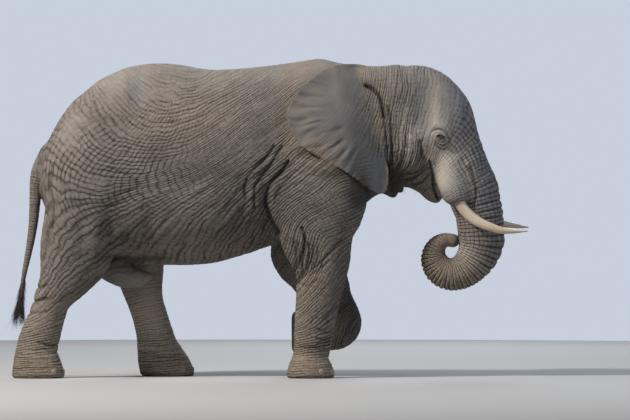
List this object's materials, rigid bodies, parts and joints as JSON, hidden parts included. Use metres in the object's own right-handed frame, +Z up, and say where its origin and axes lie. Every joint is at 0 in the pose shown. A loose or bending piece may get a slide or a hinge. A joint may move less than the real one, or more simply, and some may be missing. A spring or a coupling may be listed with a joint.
{
  "type": "elephant",
  "caption": "Life-size still model of an adult African bush elephant bull, walking, with one forefoot lifted and the trunk curled under the tusks.",
  "frame": {"origin": "on the floor, below the middle of the whole animal", "axes": "+X forward, towards the trunk; +Y to the animal's left; +Z up"},
  "size_m": [5.1814, 1.412, 3.1709],
  "materials": {
    "hide": "dry, deeply wrinkled grey-brown skin with pale dust",
    "ivory": "smooth worn ivory, stained towards the lip",
    "eye": "wet brown eye",
    "nail": "worn horn with dust",
    "tail_hair": "coarse dark hair"
  },
  "bodies": {
    "root": {"body": "hide", "hind_quarters": "hide", "neck": "hide", "head": "hide", "jaw": "hide", "trunk_upper": "hide", "trunk_middle": "hide", "trunk_curl": "hide", "trunk_tip": "hide", "ear_right": "hide", "ear_left": "hide", "groin_sheath": "hide", "tail_root": "hide", "tail_middle": "hide", "tail_end": "hide", "upper_leg_front_right": "hide", "lower_leg_front_right": "hide", "foot_front_right": "hide", "upper_leg_front_left": "hide", "lower_leg_front_left": "hide", "foot_front_left": "hide", "upper_leg_hind_right": "hide", "lower_leg_hind_right": "hide", "foot_hind_right": "hide", "upper_leg_hind_left": "hide", "lower_leg_hind_left": "hide", "foot_hind_left": "hide", "tusk_right": "ivory", "eye_right": "eye", "tusk_left": "ivory", "eye_left": "eye", "tail_tuft": "tail_hair", "nail_front_right_1": "nail", "nail_front_right_2": "nail", "nail_front_right_3": "nail", "nail_front_right_4": "nail", "nail_front_left_1": "nail", "nail_front_left_2": "nail", "nail_front_left_3": "nail", "nail_front_left_4": "nail", "nail_hind_right_1": "nail", "nail_hind_right_2": "nail", "nail_hind_right_3": "nail", "nail_hind_left_1": "nail", "nail_hind_left_2": "nail", "nail_hind_left_3": "nail"}
  },
  "joints": []
}
